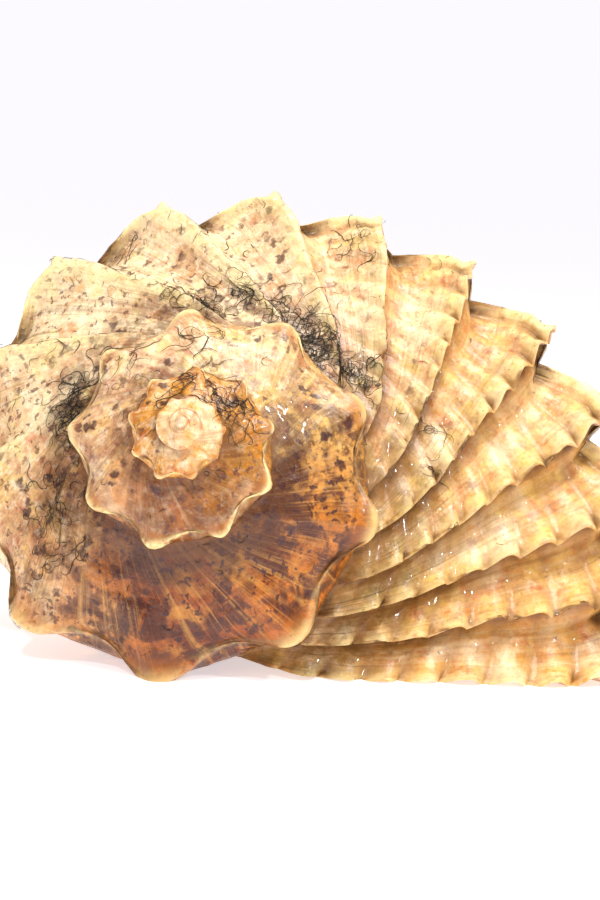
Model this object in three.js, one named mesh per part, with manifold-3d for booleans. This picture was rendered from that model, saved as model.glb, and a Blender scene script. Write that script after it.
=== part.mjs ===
// A large rock-whelk shell lying on its aperture, one solid grown along a logarithmic spiral.
// Millimetres and degrees, +Z up, origin on the floor under the middle of the shell.

import * as THREE from 'three';
import { mergeVertices } from 'three/addons/utils/BufferGeometryUtils.js';
import Module from 'manifold-3d';

const wasm = await Module();
wasm.setup();

// Driving dimensions
const startRadius = 5;          // shoulder radius where the spiral angle is zero
const whorlGrowth = 2.1327;     // how many times larger the shell gets in one whorl
const lipAngle = 1114;          // spiral angle of the shoulder at the outer lip
const firstAngle = -720;        // spiral angle of the first growth line, at the tip
const nucleusRadius = 1.1;      // the rounded shell that the young whelk hatched with
const nucleusDepth = 0.8;
const smoothStep = 38;          // degrees between growth lines before the first knob
const firstKnob = -340;
const knobSpacing = 39;         // degrees between knobs on the spire
const crowdingFrom = 830;       // from here they close up evenly
const lipSpacing = 9;           // degrees between lamella edges at the lip
const lowSide = 815;            // the side the shell lies on, where knobs reach further out
const lowReach = 0.03;
const rampLean = 24;            // degrees the growth line leans forward from shoulder to suture
const rampSweep = 46;           // and further degrees that it gains close to the suture
const wallTrail = 11;           // degrees it trails for each shoulder radius down the wall
const roundedShoulder = 0.07;   // the trail starts below this
const knobSink = 0.12;          // how far the keel falls back between knobs, in shoulder radii
const knobSharpness = 1.5;      // a higher power draws the knobs' tips out narrower
const knobLines = [0.3, 0.7];   // where growth lines lie between two knobs
const lipFlare = 0.17;          // how much wider than the spiral the lip stands
const flareStart = 1025;
const flareEnd = 1105;
const lamellaStart = 935;       // the last part of the whorl carries overlapping lamellae
const lamellaRise = 0.032;      // how far a lamella's edge stands out, as a share of the radius
const lamellaLift = 0.016;      // and how far it stands up towards the apex, as a share of the height
const lamellaLip = 1.6;         // degrees between a lamella's edge and the foot of the next one
const sliverSize = 0.05;        // joining leaves slivers, and those thinner than this are taken out
const segmentSpan = 150;        // longest stretch of whorl that is made as one tube
const chamberDepth = 330;       // how far the living chamber is followed in from the lip
const chamberOverrun = 14;      // how far the cutting tube runs out past the lip
const chamberStep = 15;         // degrees between its rows
const chamberPieces = 3;
const umbilicusFloor = -42;     // the spindle round the axis ends here, in mm below the apex
const spindleSlope = 0.18;      // spindle radius for each mm of depth
const spindleSides = 16;
const nucleusSides = 12;
const nucleusRings = 8;
const axisTilt = 67.83;         // how far the spiral axis leans over from upright
const axisHeading = -6.05;
const spiralTurn = 13.93;
const apexHeight = 34.2;        // apex above the floor, which leaves small worn flats to stand on
const floorSize = 400;          // the block that cuts those flats

const shellColour = 0xd9b06a;
const shellRoughness = 0.42;

// Knobs stand evenly round the spire, then close up towards the lip as lamella edges. Each has its
// spiral angle and how far it reaches out of the plain spiral.
function knobPlaces() {
  const places = [];
  let angle = firstKnob;
  while (angle < lipAngle - lipSpacing / 2) {
    places.push([angle, 1 + lowReach * Math.cos(THREE.MathUtils.degToRad(angle - lowSide))]);
    const left = Math.min(1, (lipAngle - angle) / (lipAngle - crowdingFrom));
    angle += lipSpacing + (knobSpacing - lipSpacing) * left;
  }
  places.push([lipAngle, 1]);
  return places;
}

const knobs = knobPlaces();

// The whorl's outline in shoulder radii: distance from the axis and height above the apex. On the
// hidden side a third value says how many degrees the growth line runs ahead of the shoulder.
const whorlOutline = [
  [0.36, -0.385],
  [0.43, -0.425],
  [0.48, -0.455],
  [0.55, -0.497],
  [0.65, -0.545],
  [0.75, -0.585],
  [0.92, -0.665],
  [1.00, -0.711],
  [0.968, -0.80],
  [0.922, -0.92],
  [0.855, -1.08],
  [0.755, -1.25],
  [0.61, -1.41],
  [0.47, -1.53],
  [0.37, -1.63],
  [0.29, -1.74],
  [0.19, -1.75, -15],
  [0.12, -1.62, -13],
  [0.09, -1.42, -10],
  [0.09, -1.20, -4],
  [0.08, -1.00, 4],
  [0.13, -0.76, 18],
  [0.25, -0.60, 38],
  [0.31, -0.47, 56],
];
const shoulderHeight = -0.711;
const keelWidth = 0.11;         // how far a knob is felt from the shoulder, in shoulder radii
const rampStations = 3;         // lamellae rise over these outline points from the suture
const canalStations = [13, 15]; // and die out over these towards the canal
const flareRadii = [0.43, 1];   // the lip's flare grows from the suture out to the shoulder
const leadShares = [0.55, 1];   // growth lines lean less on the early whorls
const leadAngles = [720, 1114];

const chamberOutline = [
  [0.49, -0.53, 36],
  [0.62, -0.59, 20],
  [0.74, -0.645, 11],
  [0.83, -0.735, 3],
  [0.85, -0.90, -1],
  [0.80, -1.06, -3],
  [0.69, -1.22, -6],
  [0.55, -1.36, -8],
  [0.41, -1.49, -10],
  [0.33, -1.60, -12],
  [0.25, -1.66, -13],
  [0.21, -1.58, -13],
  [0.20, -1.40, -10],
  [0.24, -1.18, -4],
  [0.27, -0.95, 4],
  [0.34, -0.76, 14],
  [0.42, -0.60, 24],
];

// Growth lines sweep forward up the ramp to the suture and trail a little down the wall
function leadAt(radius, height) {
  if (height > shoulderHeight) {
    const inward = (1 - radius) / (1 - whorlOutline[0][0]);
    return rampLean * inward + rampSweep * inward ** 3;
  }
  return -wallTrail * Math.max(0, shoulderHeight - height - roundedShoulder);
}

function shoulderRadius(angle) {
  return startRadius * whorlGrowth ** (angle / 360);
}

// How far the keel stands out: a knob's own reach on its tip, less in the hollow between two
function keelReach(angle) {
  const next = knobs.findIndex(([knob]) => knob > angle);
  if (next < 1) return knobs.at(-1)[1];
  const [before, reachBefore] = knobs[next - 1];
  const [after, reachAfter] = knobs[next];
  const part = (angle - before) / (after - before);
  const wave = (1 - 2 * Math.min(part, 1 - part)) ** knobSharpness;
  return THREE.MathUtils.lerp(reachBefore, reachAfter, part) - knobSink * (1 - wave);
}

// Grows from 0 at a lamella's foot to 1 at its edge
function lamellaWave(angle) {
  if (angle <= lamellaStart) return 0;
  const next = knobs.findIndex(([knob]) => knob >= angle);
  const foot = knobs[next - 1][0] + lamellaLip;
  return Math.max(0, (angle - foot) / (knobs[next][0] - foot));
}

// Places one point of an outline on the growth line of a spiral angle
function spiralPoint(radius, height, lead, angle) {
  const share = THREE.MathUtils.smoothstep(angle, ...leadAngles);
  const there = angle + lead * THREE.MathUtils.lerp(...leadShares, share);
  const turn = THREE.MathUtils.degToRad(there);
  const size = shoulderRadius(there);
  return [radius * size * Math.cos(turn), -radius * size * Math.sin(turn), height * size];
}

function flareAt(angle, radius) {
  const { smoothstep } = THREE.MathUtils;
  return 1 + lipFlare * smoothstep(angle, flareStart, flareEnd) * smoothstep(radius, ...flareRadii);
}

// The outer surface of the whorl, with its knobs, lamellae and flared lip
function whorlPoint(angle, station) {
  const { smoothstep } = THREE.MathUtils;
  const [radius, height, lead = leadAt(radius, height)] = whorlOutline[station];
  const keel = Math.exp(-((Math.hypot(radius - 1, height - shoulderHeight) / keelWidth) ** 2));
  const knob = 1 + keel * (keelReach(angle) - 1);
  const outside = smoothstep(station, 0, rampStations) * (1 - smoothstep(station, ...canalStations));
  const wave = lamellaWave(angle) * outside;
  const wide = radius * knob * (1 + lamellaRise * wave) * flareAt(angle, radius);
  return spiralPoint(wide, height * (1 - lamellaLift * wave), lead, angle);
}

function chamberPoint(angle, station) {
  const [radius, height, lead] = chamberOutline[station];
  return spiralPoint(radius * flareAt(angle, radius), height, lead, angle);
}

// A closed tube through rows of points, each end closed by a fan about its middle
function tubeSolid(rows) {
  const count = rows[0].length;
  const points = rows.flat();
  const triangles = [];
  for (let row = 0; row + 1 < rows.length; row += 1) {
    for (let i = 0; i < count; i += 1) {
      const a = row * count + i;
      const b = row * count + (i + 1) % count;
      triangles.push(b, a, a + count, b, a + count, b + count);
    }
  }
  const middle = (row) => [0, 1, 2].map((k) => row.reduce((sum, p) => sum + p[k], 0) / count);
  const firstMiddle = points.length;
  points.push(middle(rows[0]), middle(rows.at(-1)));
  const lastRow = (rows.length - 1) * count;
  for (let i = 0; i < count; i += 1) {
    const next = (i + 1) % count;
    triangles.push(i, next, firstMiddle);
    triangles.push(lastRow + next, lastRow + i, firstMiddle + 1);
  }
  return solidFrom(points.flat(), triangles);
}

function solidFrom(positions, triangles) {
  return new wasm.Manifold(new wasm.Mesh({
    numProp: 3,
    vertProperties: new Float32Array(positions),
    triVerts: new Uint32Array(triangles),
  }));
}

// Three's own shapes come with split vertices and, at a pole, triangles with no area
function solidFromGeometry(geometry, matrix) {
  geometry.deleteAttribute('normal');
  geometry.deleteAttribute('uv');
  const joined = mergeVertices(geometry.applyMatrix4(matrix));
  const triangles = [];
  for (let i = 0; i < joined.index.count; i += 3) {
    const [a, b, c] = joined.index.array.slice(i, i + 3);
    if (a !== b && b !== c && c !== a) triangles.push(a, b, c);
  }
  return solidFrom(joined.getAttribute('position').array, triangles);
}

// Growth lines that the tubes pass through: knob tips, hollows between, and lamella feet
function growthLines() {
  const lines = [];
  for (let angle = firstAngle; angle < knobs[0][0]; angle += smoothStep) lines.push(angle);
  knobs.forEach(([knob], i) => {
    lines.push(knob);
    if (knob === lipAngle) return;
    const [next] = knobs[i + 1];
    if (next > lamellaStart) lines.push(knob + lamellaLip, (knob + lamellaLip + next) / 2);
    else lines.push(...knobLines.map((part) => knob + (next - knob) * part));
  });
  return lines;
}

function row(pointAt, outline, angle) {
  return outline.map((_, station) => pointAt(angle, station));
}

// Each tube is under half a whorl long, so that none runs into itself
function whorlSolid() {
  const lines = growthLines();
  let whorl = null;
  let first = 0;
  while (first + 1 < lines.length) {
    let last = first + 1;
    while (last + 1 < lines.length && lines[last + 1] - lines[first] < segmentSpan) last += 1;
    const rows = lines.slice(first, last + 1)
      .map((angle) => row(whorlPoint, whorlOutline, angle));
    const segment = tubeSolid(rows);
    whorl = whorl ? whorl.add(segment) : segment;
    first = last + 1 < lines.length ? last - 1 : last;
  }
  return whorl;
}

function chamberSolid() {
  let chamber = null;
  const innermost = lipAngle - chamberDepth;
  const span = (chamberDepth + chamberOverrun) / chamberPieces;
  const steps = Math.round(span / chamberStep);
  for (let piece = 0; piece < chamberPieces; piece += 1) {
    const rows = [];
    for (let i = 0; i <= steps; i += 1) {
      const angle = innermost + span * (piece + i / steps);
      rows.push(row(chamberPoint, chamberOutline, angle));
    }
    const part = tubeSolid(rows);
    chamber = chamber ? chamber.add(part) : part;
  }
  return chamber;
}

// The pillar that the whorls turn round, which leaves the umbilicus open only near its mouth
function spindleSolid() {
  const profile = [
    new THREE.Vector2(0, umbilicusFloor),
    new THREE.Vector2(-umbilicusFloor * spindleSlope, umbilicusFloor),
    new THREE.Vector2(0, 0),
  ];
  const geometry = new THREE.LatheGeometry(profile, spindleSides);
  return solidFromGeometry(geometry, new THREE.Matrix4().makeRotationX(Math.PI / 2));
}

// The first turn is too small to coil, so a dome closes the tip
function nucleusSolid() {
  const geometry = new THREE.SphereGeometry(nucleusRadius, nucleusSides, nucleusRings);
  return solidFromGeometry(geometry, new THREE.Matrix4().makeTranslation(0, 0, -nucleusDepth));
}

function restingMatrix() {
  const radians = THREE.MathUtils.degToRad;
  return new THREE.Matrix4()
    .makeTranslation(0, 0, apexHeight)
    .multiply(new THREE.Matrix4().makeRotationZ(radians(axisHeading)))
    .multiply(new THREE.Matrix4().makeRotationX(radians(axisTilt)))
    .multiply(new THREE.Matrix4().makeRotationZ(radians(spiralTurn)));
}

// Everything under the floor is worn away, which leaves the flats that the shell stands on
function floorSolid() {
  const geometry = new THREE.BoxGeometry(floorSize, floorSize, floorSize);
  return solidFromGeometry(geometry, new THREE.Matrix4().makeTranslation(0, 0, -floorSize / 2));
}

function shellGeometry() {
  const grown = whorlSolid().add(spindleSolid()).add(nucleusSolid()).subtract(chamberSolid());
  const resting = grown.transform(restingMatrix().elements).subtract(floorSolid());
  const { vertProperties, triVerts } = resting.simplify(sliverSize).getMesh();
  const geometry = new THREE.BufferGeometry();
  geometry.setAttribute('position', new THREE.BufferAttribute(vertProperties, 3));
  geometry.setIndex(new THREE.BufferAttribute(triVerts, 1));
  geometry.computeBoundingBox();
  const middle = geometry.boundingBox.getCenter(new THREE.Vector3());
  geometry.translate(-middle.x, -middle.y, 0);
  return geometry;
}

function shell() {
  const material = new THREE.MeshStandardMaterial({
    color: shellColour,
    roughness: shellRoughness,
    metalness: 0,
  });
  const mesh = new THREE.Mesh(shellGeometry(), material);
  mesh.name = 'shell';
  return mesh;
}

const conch = new THREE.Group();
conch.add(shell());

export default conch;
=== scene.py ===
import math

import bpy
import numpy as np
from mathutils import Euler, Matrix, Vector, noise as solidNoise
from mathutils.bvhtree import BVHTree


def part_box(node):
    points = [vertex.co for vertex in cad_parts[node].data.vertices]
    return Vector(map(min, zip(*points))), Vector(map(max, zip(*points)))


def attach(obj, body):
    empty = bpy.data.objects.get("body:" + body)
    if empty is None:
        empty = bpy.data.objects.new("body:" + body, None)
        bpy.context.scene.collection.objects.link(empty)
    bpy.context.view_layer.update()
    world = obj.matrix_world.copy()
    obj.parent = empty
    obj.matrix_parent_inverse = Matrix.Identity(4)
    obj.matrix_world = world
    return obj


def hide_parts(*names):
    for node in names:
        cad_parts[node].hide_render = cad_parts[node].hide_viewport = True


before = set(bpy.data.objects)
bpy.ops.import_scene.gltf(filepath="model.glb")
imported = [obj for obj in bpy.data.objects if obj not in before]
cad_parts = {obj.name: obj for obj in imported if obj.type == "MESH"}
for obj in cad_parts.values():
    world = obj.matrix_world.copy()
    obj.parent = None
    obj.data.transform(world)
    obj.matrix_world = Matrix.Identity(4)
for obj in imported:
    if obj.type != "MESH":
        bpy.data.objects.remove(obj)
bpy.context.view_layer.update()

shellLow = Vector(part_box("shell")[0])
mm = 0.001
print("frame loaded")

# How the shell grew. Angles are degrees round the spiral, up to 1114 at the lip. Other sizes are
# shares of the shoulder radius, apart from the start radius and the apex, which are in mm.
growth = {
    "startRadius": 5.0,
    "perWhorl": 2.1327,         # each whorl is this many times the last
    "firstAngle": -1080,
    "lipAngle": 1114,
    "apexFromBox": (30.75, 0.36, 34.2),     # from the low corner of the shell's box
    "axisTilt": 67.83,
    "axisHeading": -6.05,
    "spiralTurn": 13.93,
    "shoulder": (1.0, -0.711),
    "shoulderPoint": 7,         # its place in the outline, counted from 0
    "sutureRadius": 0.36,
    "keelWidth": 0.11,          # how far round the outline the knobs are felt
    "firstKnob": -340,
    "knobSpacing": 39,
    "crowdingFrom": 830,        # from here knobs close up evenly
    "lipSpacing": 9,
    "lowSide": 815,             # the side the shell lies on, where knobs reach further out
    "lowReach": 0.03,
    "rampLean": 24,             # degrees the growth line leans forward from shoulder to suture
    "rampSweep": 46,            # and gains close to the suture
    "wallTrail": 11,            # degrees it trails for each shoulder radius down the wall
    "roundedShoulder": 0.07,
    "knobSink": 0.12,
    "roundedCorner": 0.02,
    "lipFlare": 0.17,
    "flareFrom": (1025, 1105),
    "flareAcross": (0.43, 1.0),
    "leadFrom": (720, 1114),
    "leadShare": (0.55, 1.0),
    "sharpFrom": 62,            # an edge is sharp when its faces turn by this many degrees
}


# Knobs stand evenly round the spire, then close up towards the lip as lamella edges
def knobPlaces():
    places = []
    angle = growth["firstKnob"]
    while angle < growth["lipAngle"] - growth["lipSpacing"] / 2:
        reach = 1 + growth["lowReach"] * math.cos(math.radians(angle - growth["lowSide"]))
        places.append((angle, reach))
        left = min(1, (growth["lipAngle"] - angle) / (growth["lipAngle"] - growth["crowdingFrom"]))
        angle += growth["lipSpacing"] + (growth["knobSpacing"] - growth["lipSpacing"]) * left
    return places + [(growth["lipAngle"], 1)]


knobs = knobPlaces()
knobAngles = np.array([angle for angle, _ in knobs], float)
knobReaches = np.array([reach for _, reach in knobs], float)


# Growth lines sweep forward up the ramp to the suture and trail a little down the wall
def leadAt(radius, height):
    if height > growth["shoulder"][1]:
        inward = (1 - radius) / (1 - growth["sutureRadius"])
        return growth["rampLean"] * inward + growth["rampSweep"] * inward ** 3
    down = growth["shoulder"][1] - height - growth["roundedShoulder"]
    return -growth["wallTrail"] * max(0, down)


# The whorl's outline: distance from the axis, height, and how many parts the stretch to the next
# point has. The hidden side also says how many degrees its growth line runs ahead.
outerSide = [
    (0.36, -0.385, 4), (0.43, -0.425, 7), (0.48, -0.455, 8), (0.55, -0.497, 11),
    (0.65, -0.545, 12), (0.75, -0.585, 18), (0.92, -0.665, 12), (1.00, -0.711, 10),
    (0.968, -0.80, 9), (0.922, -0.92, 10), (0.855, -1.08, 10), (0.755, -1.25, 11),
    (0.61, -1.41, 9), (0.47, -1.53, 7), (0.37, -1.63, 6), (0.29, -1.74, 5),
]
hiddenSide = [
    (0.19, -1.75, -15, 4), (0.12, -1.62, -13, 4), (0.09, -1.42, -10, 3), (0.09, -1.20, -4, 3),
    (0.08, -1.00, 4, 3), (0.13, -0.76, 18, 3), (0.25, -0.60, 38, 3), (0.31, -0.47, 56, 3),
]
outline = [(radius, height, leadAt(radius, height), parts) for radius, height, parts in outerSide]
outline += hiddenSide

# The living chamber's outline, as the hidden side
chamberOutline = [
    (0.49, -0.53, 36, 4), (0.62, -0.59, 20, 4), (0.74, -0.645, 11, 4), (0.83, -0.735, 3, 5),
    (0.85, -0.90, -1, 5), (0.80, -1.06, -3, 5), (0.69, -1.22, -6, 6), (0.55, -1.36, -8, 5),
    (0.41, -1.49, -10, 4), (0.33, -1.60, -12, 4), (0.25, -1.66, -13, 3), (0.21, -1.58, -13, 3),
    (0.20, -1.40, -10, 4), (0.24, -1.18, -4, 4), (0.27, -0.95, 4, 4), (0.34, -0.76, 14, 4),
    (0.42, -0.60, 24, 4),
]


def smoothStep(value, low, high):
    part = np.clip((np.asarray(value, float) - low) / (high - low), 0, 1)
    return part * part * (3 - 2 * part)


# 1 in the middle, and less than 0.4 from the width on
def bell(distance, width):
    return np.exp(-(distance / width) ** 2)


def blend(pair, share):
    return pair[0] * (1 - share) + pair[1] * share


# A closed smooth curve through the points; the last column is the place along them
def smoothOutline(points, coarser=1):
    places = np.array(points, float)
    rows = []
    for i in range(len(places)):
        a, b, c, d = (places[(i + k - 1) % len(places), :3] for k in range(4))
        steps = max(1, round(places[i, 3] / coarser))
        for t in np.arange(steps) / steps:
            curve = 2 * b + (c - a) * t + (2 * a - 5 * b + 4 * c - d) * t ** 2
            curve = (curve + (3 * b - a - 3 * c + d) * t ** 3) / 2
            rows.append((*curve, i + t))
    return np.array(rows)


# Outward direction in the outline's own plane, and the distance along it from the shoulder
def outlineShape(curve):
    ahead = np.roll(curve[:, :2], -1, 0)
    behind = np.roll(curve[:, :2], 1, 0)
    along = ahead - behind
    outward = np.stack([-along[:, 1], along[:, 0]], 1)
    outward /= np.linalg.norm(outward, axis=1)[:, None]
    steps = np.linalg.norm(ahead - curve[:, :2], axis=1)
    distance = np.concatenate([[0], np.cumsum(steps)[:-1]])
    shoulder = np.argmin(np.abs(curve[:, 3] - growth["shoulderPoint"]))
    return outward, distance - distance[shoulder]


def shoulderRadius(angle):
    return growth["startRadius"] * growth["perWhorl"] ** (np.asarray(angle, float) / 360)


# The keel between two knobs: even at first, then leaning forward with sharper tips
keel = {
    "lateFrom": (860, 960),
    "valley": 0.5,              # where the dip lies between two knobs
    "valleyShift": 0.2,         # and how much nearer the older knob it is later
    "sharpness": 1.3,
    "sharpnessLoss": 0.7,
    "foldWidths": (0.17, 0.3),  # of the fold after a knob and of the one before the next
    "youngSink": 0.45,          # the dip is this much deeper on young whorls
    "youngUntil": (350, 550),
    "middleSink": 0.2,
    "middleFrom": (600, 700),
    "lateSink": 0.5,            # and shallower where knobs become lamella edges
    "shallowFrom": (850, 940),
    "sinkFrom": (-200, -20),
    "cornerFrom": (0.72, 1),    # the part of the way to the next knob where its corner is rounded
}


# How far the keel stands out, how near a knob's tip it is, the fold that rises to the tip and how
# far it is to the next knob, from 0 to 1
def keelReach(angle):
    after = np.clip(np.searchsorted(knobAngles, angle, side="right"), 1, len(knobs) - 1)
    part = (angle - knobAngles[after - 1]) / (knobAngles[after] - knobAngles[after - 1])
    part = np.clip(part, 0, 1)
    late = smoothStep(angle, *keel["lateFrom"])
    valley = keel["valley"] - keel["valleyShift"] * late
    near = np.where(part < valley, 1 - part / valley, (part - valley) / (1 - valley))
    blunt = 0.5 - 0.5 * np.cos(np.pi * near)
    tip = blunt ** (keel["sharpness"] - keel["sharpnessLoss"] * late)
    fold = np.maximum(bell(part, keel["foldWidths"][0]), bell(1 - part, keel["foldWidths"][1]))
    reach = knobReaches[after - 1] * (1 - part) + knobReaches[after] * part
    young = keel["youngSink"] * (1 - smoothStep(angle, *keel["youngUntil"]))
    middle = keel["middleSink"] * smoothStep(angle, *keel["middleFrom"])
    sink = 1 + young + middle - keel["lateSink"] * smoothStep(angle, *keel["shallowFrom"])
    sink = growth["knobSink"] * sink * smoothStep(angle, *keel["sinkFrom"])
    corner = growth["roundedCorner"] * late * smoothStep(part, *keel["cornerFrom"])
    return reach - sink * (1 - tip) - corner, tip, fold, part


# Turns outline places into points in mm: rows are growth lines, columns go round the outline
def spiralPoints(radius, height, lead, angle):
    share = growth["leadShare"]
    share = share[0] + (share[1] - share[0]) * smoothStep(angle, *growth["leadFrom"])
    there = angle + lead * share
    turn = np.radians(there)
    size = shoulderRadius(there)
    points = [radius * size * np.cos(turn), -radius * size * np.sin(turn), height * size]
    return np.stack(points, -1), there


def flareAt(angle, radius):
    flare = smoothStep(angle, *growth["flareFrom"]) * smoothStep(radius, *growth["flareAcross"])
    return 1 + growth["lipFlare"] * flare


restMatrix = (
    Matrix.Translation(shellLow + Vector(growth["apexFromBox"]) * mm)
    @ Matrix.Rotation(math.radians(growth["axisHeading"]), 4, "Z")
    @ Matrix.Rotation(math.radians(growth["axisTilt"]), 4, "X")
    @ Matrix.Rotation(math.radians(growth["spiralTurn"]), 4, "Z")
    @ Matrix.Scale(mm, 4)
)
growthToRest = np.array(restMatrix)

# What the growth lines look like close up. Sizes are shares of the shoulder radius, and a range of
# angles is where something sets in.
relief = {
    "outerFrom": (0, 3),        # outline points between which the outer side begins and ends
    "outerUntil": (13, 15),
    "lamellaRise": 0.052,       # how far a lamella stands off the wall
    "lamellaFrom": (990, 1072),
    "lamellaSwell": 1.9,
    "edgeReach": 0.016,
    "edgeSwell": 2.5,
    "ribRise": (0.008, 0.044),  # the older whorls carry low rounded ribs instead
    "ribFrom": (830, 940),
    "ribBase": 0.55,
    "cordSpacing": 0.066,       # spiral cords across the whorl
    "cordHeight": 0.013,
    "cordFrom": (960, 1070),
    "cordsPastKeel": (0.01, 0.06),
    "cordLevel": 0.6,
    "cordAtRest": 0.45,         # how much of a cord shows between two lamellae
    "cordSway": (0.25, 9, 0.004),   # how far, and the turn of the wave across and along
    "toothAdvance": 1.7,        # degrees a lamella's edge runs ahead between two cords
    "archRise": 0.55,
    "knobFold": (0.06, 0.045),
    "foldOnRamp": (0.6, 0.96),  # shares of the shoulder radius where a fold rises to full height
    "foldOnWall": 0.2,
    "foldLevel": 0.75,
    "foldFrom": (-250, 0),
    "keelRim": (0.05, 0.016),
    "rimWidth": (0.06, 0.03),
    "rimFrom": (-800, -500),
    "grownFrom": (150, 620),    # where the rim goes from its young size to its full-grown one
    "knobHollow": 0.03,         # each knob is a little spoon, hollow on its growing side
    "hollowAlong": (0.13, 0.07),
    "hollowAcross": (-0.02, 0.06),
    "hollowFrom": (150, 350),
    "growthLine": 0.0014,
    "fineWaves": (1.9, 3, (0.3, 2.1, 4.4, 1.2, 5.5)),   # along, across, and where each wave starts
    "undulation": 0.012,
    "broadWaves": (0.09, 8, (1.1, 3.3, 5.2)),
    "undulationFrom": (200, 700),
    "shoulderHold": (0.9, 0.14),    # at the shoulder the relief stands up, not out
    "rimBand": 0.045,
    "tipBand": 0.10,
}
# The way round a lamella's edge and back under it: degrees ahead, and what is left of the rise
lamellaEdge = [(0.16, 0.97), (0.28, 0.88), (0.2, 0.74), (-0.15, 0.56), (-0.65, 0.38),
               (-1.0, 0.18), (-0.9, 0.04), (-0.3, 0)]
ribEdge = [(0.4, 0.97), (0.9, 0.88), (1.5, 0.72), (2.1, 0.52), (2.8, 0.32), (3.6, 0.14),
           (4.6, 0.03), (5.6, 0)]


# How finely the whorls are divided. Steps are degrees from one growth line to the next.
fineness = {
    "angles": [-1080, -200, 0, 360, 720, 900, 960, 1114],
    "steps": [14, 9, 6, 4.2, 3.3, 2.9, 2.1, 1.8],
    "crowding": 1.3,            # lines close up towards a knob
    "beforeFirstKnob": 6,
    "edgeFocus": 6,             # higher keeps the scallops nearer a lamella's edge
    "wholeRibSpacing": 30,      # ribs closer together than this are narrower
    "wholeEdgesFrom": 100,      # earlier edges take every other line
    "tubeLength": 150,
    "coarserOutline": [(200, 2.4), (620, 1.4)],     # up to an angle, and how many times coarser
}


def stepAt(angle):
    return float(np.interp(angle, fineness["angles"], fineness["steps"]))


# One entry for each growth line: its angle, its rise, how near the edge it is, and how far back
# under the edge
def growthLines():
    firstStep = stepAt(growth["firstAngle"])
    foot = knobAngles[0]
    early = np.arange(growth["firstAngle"], foot - fineness["beforeFirstKnob"], firstStep)
    lines = [(angle, 0, 0, 0) for angle in early]
    lines.append((foot, 0, 0, 0))
    for before, knob in zip(knobAngles[:-1], knobAngles[1:]):
        steps = math.ceil((knob - foot) / stepAt(knob))
        for i in range(1, steps + 1):
            part = 1 - (1 - i / steps) ** fineness["crowding"]
            wave = part ** relief["lamellaSwell"]
            edge = part ** fineness["edgeFocus"]
            lines.append((foot + (knob - foot) * part, wave, edge, 0))
        amount = float(smoothStep(knob, *relief["lamellaFrom"]))
        last = knob == growth["lipAngle"]
        points = len(ribEdge)
        count = 3 if last else points
        every = 2 if knob < fineness["wholeEdgesFrom"] and not last else 1
        ribScale = min(1, (knob - before) / fineness["wholeRibSpacing"])
        for i in range(every - 1, count, every):
            ahead = ribEdge[i][0] * ribScale * (1 - amount) + lamellaEdge[i][0] * amount
            left = ribEdge[i][1] * (1 - amount) + lamellaEdge[i][1] * amount
            lines.append((knob + ahead, left, 1 - i / points, i / (points - 1)))
            foot = knob + ahead
    return np.array(lines)


# Uneven but repeatable swell made of a few waves
def unevenness(angle, across, waves):
    along, over, seeds = waves
    u, v = angle * along, across * over
    total = 0
    for i, seed in enumerate(seeds):
        total = total + np.sin(u * (0.7 + 0.61 * i) + v * (0.9 - 0.37 * i) + seed) / (1 + 0.4 * i)
    return total / len(seeds)


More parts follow.
